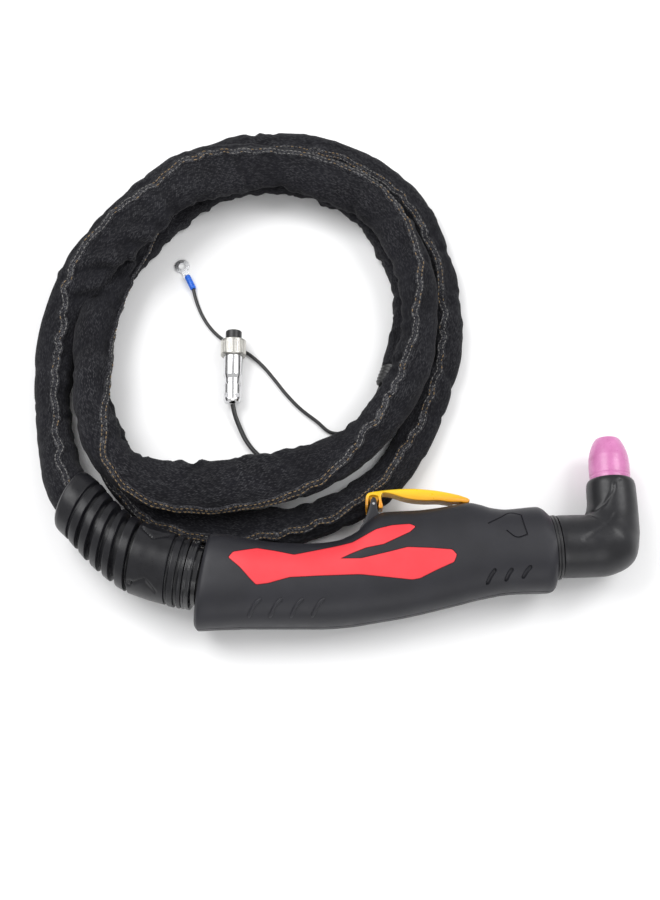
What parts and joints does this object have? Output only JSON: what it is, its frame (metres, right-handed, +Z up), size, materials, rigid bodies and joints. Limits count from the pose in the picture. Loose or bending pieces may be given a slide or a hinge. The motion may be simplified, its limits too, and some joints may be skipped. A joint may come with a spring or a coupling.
{
  "type": "plasma torch with cable",
  "caption": "Hand torch with elbow head and ceramic cup, two-shell grip with finger lever, ribbed strain relief, and a coiled cable in a denim cover with its end fittings.",
  "frame": {"origin": "centre of the footprint of the torch proper (its cable left out), on the surface it lies on", "axes": "+X along the handle from strain relief to head, +Y the trigger side, +Z up through the handle's thickness"},
  "size_m": [0.4309, 0.4001, 0.0506],
  "materials": {
    "black_shell": "fine moulded texture, matt",
    "red_inlay": "soft satin elastomer",
    "yellow_lever": "smooth moulded, soft gloss",
    "steel": "bright plated steel",
    "spring_steel": "drawn wire",
    "switch_black": "moulded",
    "switch_white": "moulded",
    "wire_black": "smooth vinyl insulation",
    "black_head": "satin moulded thermoset",
    "brass": "turned",
    "seal_rubber": "moulded ring",
    "copper": "turned copper",
    "swirl_ceramic": "unglazed",
    "emitter_metal": "hafnium pin",
    "rose_ceramic": "dense pressed ceramic, satin",
    "ferrule_metal": "crimped",
    "hose_rubber": "smooth extruded",
    "boot_rubber": "moulded, semi gloss",
    "gloss_ring": "polished black",
    "denim": "black denim twill, sewn lengthwise",
    "band_tape": "shrunk band",
    "insert_black": "moulded",
    "contact_gold": "plated",
    "chrome": "bright nickel and chrome",
    "tinned_copper": "tinned",
    "blue_vinyl": "translucent vinyl"
  },
  "bodies": {
    "root": {"handle_shell_upper": "black_shell", "handle_shell_lower": "black_shell", "grip_inlay_upper": "red_inlay", "grip_inlay_lower": "red_inlay", "shell_screws": "steel", "trigger_pin": "steel", "trigger_spring": "spring_steel", "switch_body": "switch_black", "switch_wires": "wire_black", "neck_collar": "black_shell", "torch_head": "black_head", "head_core": "brass", "head_o_ring": "seal_rubber", "torch_tube": "copper", "swirl_ring": "swirl_ceramic", "electrode": "copper", "electrode_emitter": "emitter_metal", "union_nut": "brass", "hose_barb": "brass", "hose_ferrule": "ferrule_metal", "power_hose": "hose_rubber", "strain_boot": "boot_rubber", "boot_collar": "gloss_ring", "cable_sleeve": "denim", "sleeve_end_band": "band_tape", "hose_tail": "hose_rubber", "tail_stem": "brass", "tail_ferrule": "ferrule_metal", "trigger_lead": "wire_black", "plug_insert": "insert_black", "plug_contacts": "contact_gold", "plug_shell": "chrome", "plug_clamp_nut": "chrome", "plug_screws": "steel", "pilot_lead": "wire_black", "ring_terminal": "tinned_copper", "terminal_sleeve": "blue_vinyl"},
    "lever": {"trigger": "yellow_lever"},
    "plunger": {"switch_plunger": "switch_white"},
    "tip": {"nozzle_tip": "copper"},
    "cup": {"shield_cup": "rose_ceramic"},
    "plug_ring": {"plug_coupling_ring": "chrome"},
    "hose_nut": {"gas_nut": "brass"}
  },
  "joints": [
    {"name": "trigger_press", "type": "hinge", "parent": "root", "child": "lever", "pos_m": [0.0181, 0.0192, 0.0253], "axis": [0, 0, -1], "range_deg": [0, 4], "stiffness_Nm_per_rad": 0.8, "springref_deg": -4.58, "deforming": ["trigger_spring"]},
    {"name": "plunger_slide", "type": "slide", "parent": "root", "child": "plunger", "axis": [0, -1, 0], "range_m": [0, 0.004]},
    {"name": "cup_advance", "type": "slide", "parent": "root", "child": "tip", "axis": [0, 1, 0], "range_m": [0, 0.008]},
    {"name": "cup_turn", "type": "hinge", "parent": "tip", "child": "cup", "pos_m": [0.1848, 0.05, 0.0253], "axis": [0, 1, 0], "range_deg": [0, 1450]},
    {"name": "plug_ring_turn", "type": "hinge", "parent": "root", "child": "plug_ring", "pos_m": [-0.084, 0.14577, 0.01179], "axis": [0, 0.9945, 0.1045], "continuous": true},
    {"name": "gas_nut_turn", "type": "hinge", "parent": "root", "child": "hose_nut", "pos_m": [-0.08612, 0.03728, 0.0098], "axis": [-0.9925, -0.1219, 0], "continuous": true}
  ],
  "couplings": [
    {"joint": "plunger_slide", "follows": "trigger_press", "m_per_rad": 0.0567},
    {"joint": "cup_turn", "follows": "cup_advance", "rad_per_m": 3141.6}
  ]
}
